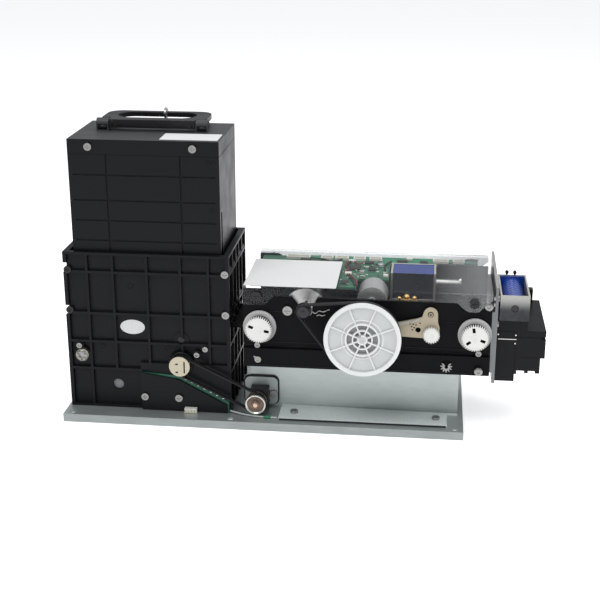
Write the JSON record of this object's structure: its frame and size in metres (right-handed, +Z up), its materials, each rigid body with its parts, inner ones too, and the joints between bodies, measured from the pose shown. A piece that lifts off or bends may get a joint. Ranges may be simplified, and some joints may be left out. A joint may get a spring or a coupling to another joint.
{
  "type": "kiosk media validator",
  "caption": "Kiosk media validator: ribbed stacker with a lift-out locked cassette, belt-driven roller transport under a clear cover, and a front bezel with a solenoid-driven shutter.",
  "frame": {"origin": "centre of the base plate, on the plane that its folded edges rest on", "axes": "+X along the unit from the stacker towards the bezel, +Z up out of the base plate, the near side faces -Y"},
  "size_m": [0.3424, 0.118, 0.2169],
  "materials": {
    "zinc_steel": "zinc plated sheet, satin",
    "bright_steel": "bright turned or plated",
    "black_plastic": "moulded, satin black",
    "cassette_plastic": "moulded, satin black",
    "dark_metal": "dark, semi matt",
    "motor_steel": "drawn can",
    "white_plastic": "moulded white",
    "cream_plastic": "moulded cream",
    "belt_rubber": "matt",
    "board": "green solder mask",
    "clear_plastic": "clear sheet",
    "blue_tape": "blue insulating tape",
    "navy_tape": "dark blue insulating tape",
    "beige_plate": "beige",
    "black_screw": "black oxide",
    "wire_jacket": "light grey",
    "bronze": "sintered bronze"
  },
  "bodies": {
    "chassis": {"base_plate": "zinc_steel", "transport_bracket": "zinc_steel", "machine_screws": "bright_steel", "motor_mount_plate": "zinc_steel", "feed_motor": "dark_metal", "feed_belt": "belt_rubber", "frame_front_half": "black_plastic", "frame_rear_half": "black_plastic", "stacker_board": "board", "board_cover_plate": "black_plastic", "cross_shaft": "cream_plastic", "sensor_wire": "wire_jacket", "near_side_plate": "black_plastic", "far_side_plate": "black_plastic", "lower_guide": "black_plastic", "upper_guide": "black_plastic", "read_head": "bright_steel", "roller_belt": "belt_rubber", "main_motor": "motor_steel", "drive_belt": "belt_rubber", "aux_motor": "motor_steel", "latch_frame": "bright_steel", "latch_coil": "navy_tape", "main_board": "board", "board_connectors": "cream_plastic", "clear_cover": "clear_plastic", "transport_screws": "black_screw", "front_plate": "bright_steel", "bezel_housing": "black_plastic", "bezel_mouth": "black_plastic", "shutter_frame": "bright_steel", "shutter_coil": "blue_tape"},
    "cassette": {"cassette_body": "cassette_plastic", "cassette_lid": "cassette_plastic", "lid_screws": "bright_steel"},
    "carry_handle": {"handle": "cassette_plastic"},
    "lock_key": {"key": "bright_steel"},
    "pusher": {"pusher_plate": "dark_metal"},
    "drive": {"drive_shaft": "bright_steel", "drive_disc": "cream_plastic"},
    "feed_output": {"feed_pulley": "bronze"},
    "pick": {"pick_roller": "belt_rubber", "pick_gear": "cream_plastic"},
    "centre": {"centre_roller": "bright_steel", "drive_wheel": "white_plastic"},
    "left": {"left_roller": "bright_steel", "left_gear": "white_plastic"},
    "third": {"third_roller": "bright_steel", "pinion": "white_plastic"},
    "right": {"right_roller": "bright_steel", "right_gear": "white_plastic"},
    "left_pinch": {"left_pinch_roller": "belt_rubber"},
    "centre_pinch": {"centre_pinch_roller": "belt_rubber"},
    "right_pinch": {"right_pinch_roller": "belt_rubber"},
    "motor_output": {"motor_pulley": "dark_metal"},
    "lever": {"swing_lever": "beige_plate"},
    "latch": {"latch_plunger": "bright_steel"},
    "shutter_gate": {"shutter": "bright_steel"},
    "crank": {"shutter_lever": "bronze"},
    "shutter_core": {"shutter_plunger": "bright_steel"}
  },
  "joints": [
    {"name": "cassette_lift", "type": "slide", "parent": "chassis", "child": "cassette", "axis": [0, 0, 1], "range_m": [0, 0.06]},
    {"name": "handle_fold", "type": "hinge", "parent": "cassette", "child": "carry_handle", "pos_m": [-0.08195, 0.0005, 0.20902], "axis": [1, 0, 0], "range_deg": [0, 90]},
    {"name": "key_turn", "type": "hinge", "parent": "cassette", "child": "lock_key", "pos_m": [-0.07645, 0.02, 0.204], "axis": [0, 0, 1], "range_deg": [0, 90]},
    {"name": "pusher_travel", "type": "slide", "parent": "cassette", "child": "pusher", "axis": [0, 0, 1], "range_m": [0, 0.1]},
    {"name": "drive_spin", "type": "hinge", "parent": "chassis", "child": "drive", "pos_m": [-0.059, 0, 0.04282], "axis": [0, 1, 0], "continuous": true},
    {"name": "feed_spin", "type": "hinge", "parent": "chassis", "child": "feed_output", "pos_m": [-0.0043, 0, 0.016], "axis": [0, 1, 0], "continuous": true},
    {"name": "pick_spin", "type": "hinge", "parent": "chassis", "child": "pick", "pos_m": [-0.059, 0, 0.05982], "axis": [0, 1, 0], "continuous": true},
    {"name": "wheel_spin", "type": "hinge", "parent": "chassis", "child": "centre", "pos_m": [0.0725, 0, 0.076], "axis": [0, 1, 0], "continuous": true},
    {"name": "left_spin", "type": "hinge", "parent": "chassis", "child": "left", "pos_m": [-0.0006, 0, 0.076], "axis": [0, 1, 0], "continuous": true},
    {"name": "third_spin", "type": "hinge", "parent": "chassis", "child": "third", "pos_m": [0.1191, 0, 0.076], "axis": [0, 1, 0], "continuous": true},
    {"name": "right_spin", "type": "hinge", "parent": "chassis", "child": "right", "pos_m": [0.1489, 0, 0.076], "axis": [0, 1, 0], "continuous": true},
    {"name": "left_pinch_spin", "type": "hinge", "parent": "chassis", "child": "left_pinch", "pos_m": [-0.0006, 0, 0.06642], "axis": [0, 1, 0], "continuous": true},
    {"name": "centre_pinch_spin", "type": "hinge", "parent": "chassis", "child": "centre_pinch", "pos_m": [0.0725, 0, 0.06642], "axis": [0, 1, 0], "continuous": true},
    {"name": "right_pinch_spin", "type": "hinge", "parent": "chassis", "child": "right_pinch", "pos_m": [0.1489, 0, 0.06642], "axis": [0, 1, 0], "continuous": true},
    {"name": "motor_spin", "type": "hinge", "parent": "chassis", "child": "motor_output", "pos_m": [0.0318, 0, 0.094], "axis": [0, 1, 0], "continuous": true},
    {"name": "lever_swing", "type": "hinge", "parent": "chassis", "child": "lever", "pos_m": [0.1182, 0, 0.0902], "axis": [0, 1, 0], "range_deg": [-6, 4], "stiffness_Nm_per_rad": 0.05},
    {"name": "latch_travel", "type": "slide", "parent": "chassis", "child": "latch", "axis": [-1, 0, 0], "range_m": [0, 0.005], "stiffness_N_per_m": 100},
    {"name": "crank_turn", "type": "hinge", "parent": "chassis", "child": "crank", "pos_m": [0.1729, 0.017, 0.0825], "axis": [1, 0, 0], "range_deg": [0, 26]},
    {"name": "shutter_travel", "type": "slide", "parent": "chassis", "child": "shutter_gate", "axis": [0, 0, 1], "range_m": [0, 0.004]},
    {"name": "core_travel", "type": "slide", "parent": "chassis", "child": "shutter_core", "axis": [0, -1, 0], "range_m": [0, 0.0057], "stiffness_N_per_m": 60}
  ],
  "couplings": [
    {"joint": "feed_spin", "follows": "drive_spin", "ratio": 1},
    {"joint": "pick_spin", "follows": "drive_spin", "ratio": -1.6154},
    {"joint": "left_spin", "follows": "wheel_spin", "ratio": 1},
    {"joint": "third_spin", "follows": "wheel_spin", "ratio": 1},
    {"joint": "right_spin", "follows": "wheel_spin", "ratio": 1},
    {"joint": "left_pinch_spin", "follows": "wheel_spin", "ratio": -1.205},
    {"joint": "centre_pinch_spin", "follows": "wheel_spin", "ratio": -1.205},
    {"joint": "right_pinch_spin", "follows": "wheel_spin", "ratio": -1.205},
    {"joint": "motor_spin", "follows": "wheel_spin", "ratio": 6.325},
    {"joint": "crank_turn", "follows": "core_travel", "rad_per_m": 79.365},
    {"joint": "shutter_travel", "follows": "core_travel", "ratio": 0.6905}
  ]
}
